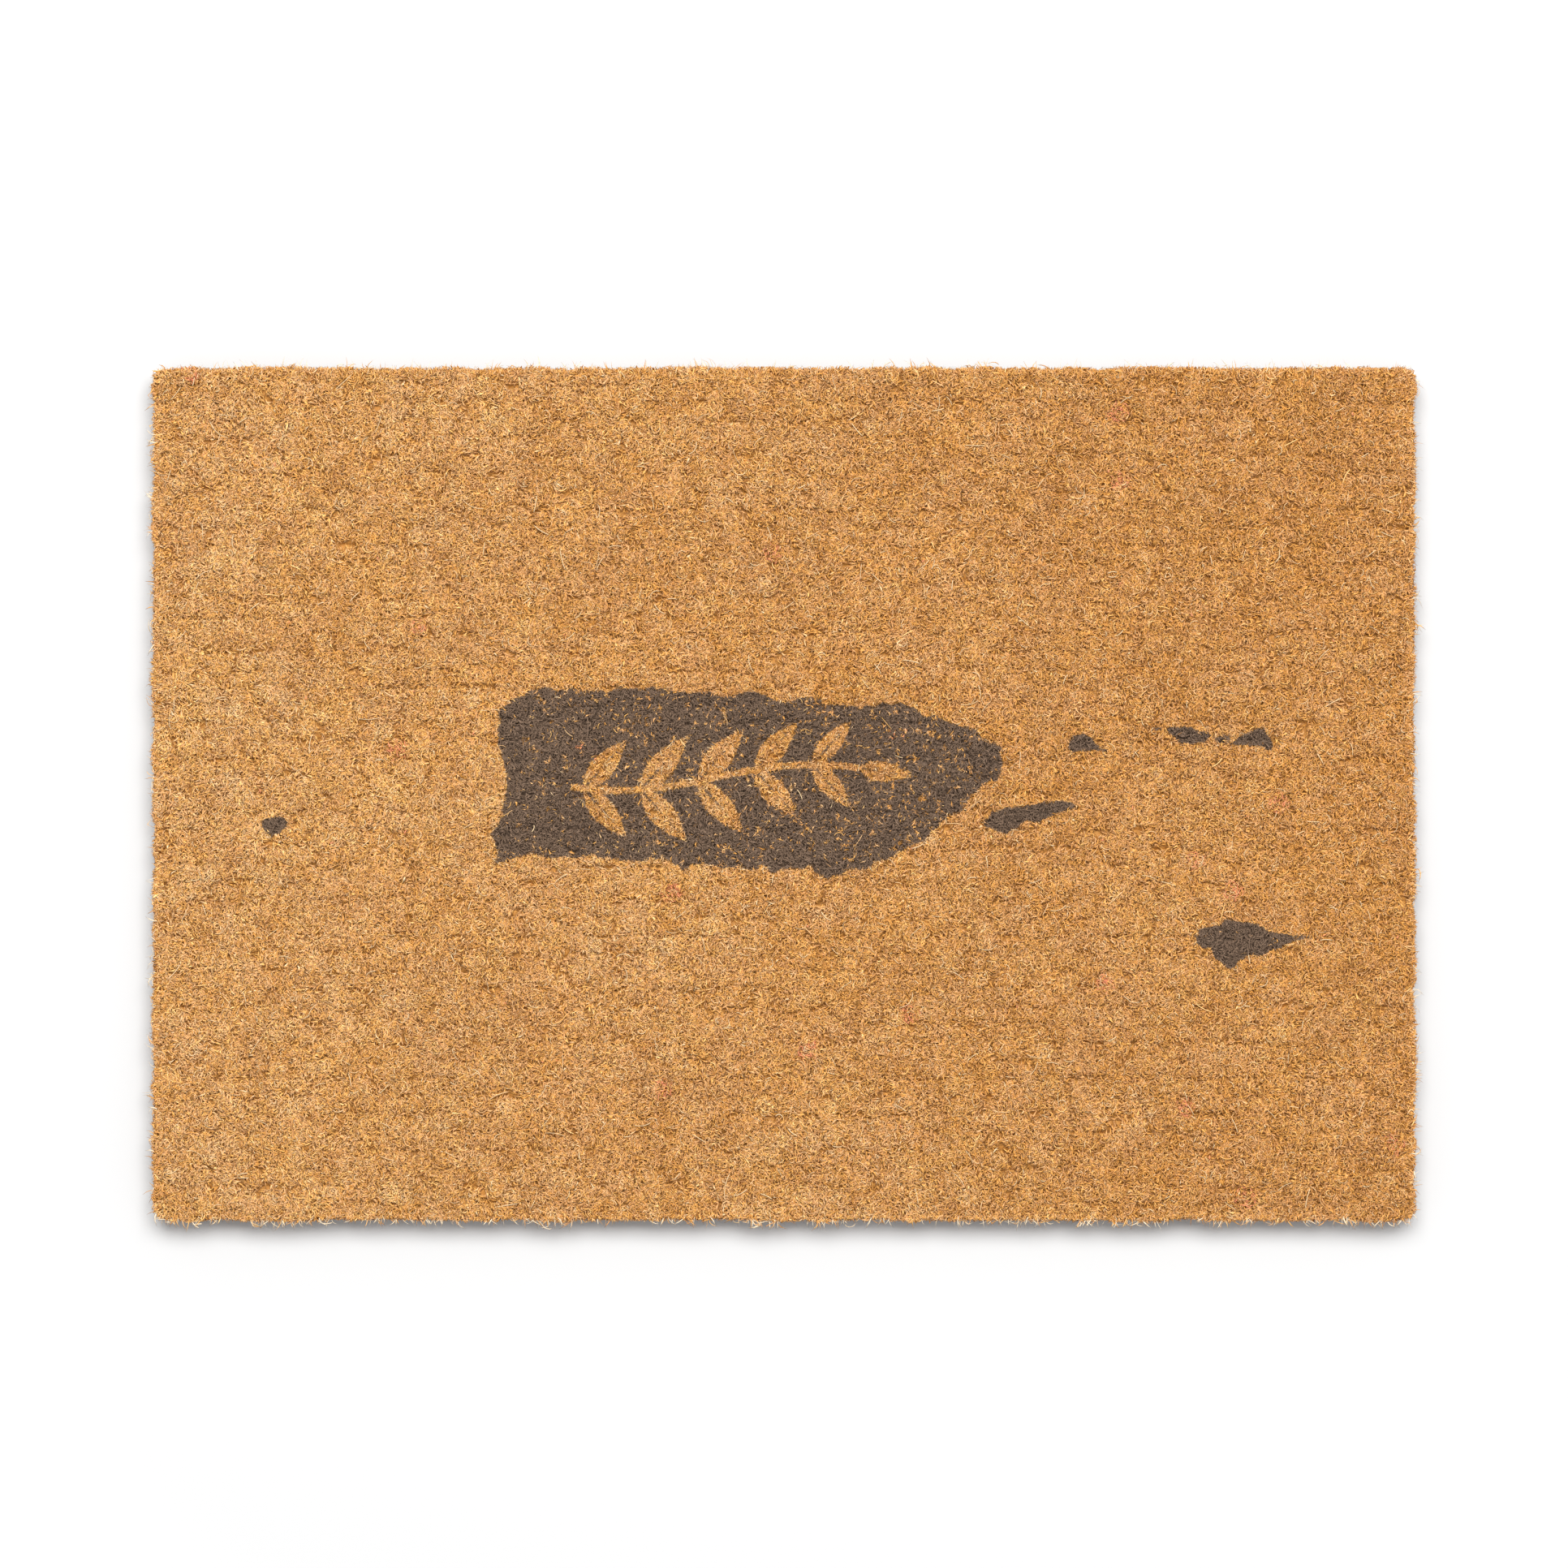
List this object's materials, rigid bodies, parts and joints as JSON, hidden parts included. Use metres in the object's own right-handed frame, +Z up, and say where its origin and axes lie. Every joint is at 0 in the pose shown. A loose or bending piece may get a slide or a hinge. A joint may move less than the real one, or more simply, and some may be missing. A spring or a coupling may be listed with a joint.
{
  "type": "door mat",
  "caption": "Rectangular natural coir door mat: rows of cut coir tufts standing in a flat vinyl backing, with an open fibre edge and a plain dark print.",
  "frame": {"origin": "on the floor, under the middle of the mat", "axes": "+X along the long side, +Y across the rows towards the top of the print, +Z up"},
  "size_m": [0.686, 0.464, 0.016],
  "materials": {
    "vinyl": "soft black PVC sheet, fine grain",
    "coir": "natural coconut fibre, cut pile, dry and rough, with a dark brown print in the tips"
  },
  "bodies": {
    "root": {"vinyl_backing": "vinyl", "tuft_row_01": "coir", "tuft_row_02": "coir", "tuft_row_03": "coir", "tuft_row_04": "coir", "tuft_row_05": "coir", "tuft_row_06": "coir", "tuft_row_07": "coir", "tuft_row_08": "coir", "tuft_row_09": "coir", "tuft_row_10": "coir", "tuft_row_11": "coir", "tuft_row_12": "coir", "tuft_row_13": "coir", "tuft_row_14": "coir", "tuft_row_15": "coir", "tuft_row_16": "coir", "tuft_row_17": "coir", "tuft_row_18": "coir", "tuft_row_19": "coir", "tuft_row_20": "coir", "tuft_row_21": "coir", "tuft_row_22": "coir", "tuft_row_23": "coir", "tuft_row_24": "coir", "tuft_row_25": "coir", "tuft_row_26": "coir", "tuft_row_27": "coir", "tuft_row_28": "coir", "tuft_row_29": "coir", "tuft_row_30": "coir", "tuft_row_31": "coir", "tuft_row_32": "coir", "tuft_row_33": "coir", "tuft_row_34": "coir", "tuft_row_35": "coir", "tuft_row_36": "coir", "tuft_row_37": "coir", "tuft_row_38": "coir", "tuft_row_39": "coir", "tuft_row_40": "coir", "tuft_row_41": "coir", "tuft_row_42": "coir", "tuft_row_43": "coir", "tuft_row_44": "coir", "tuft_row_45": "coir", "tuft_row_46": "coir", "tuft_row_47": "coir", "tuft_row_48": "coir"}
  },
  "joints": []
}
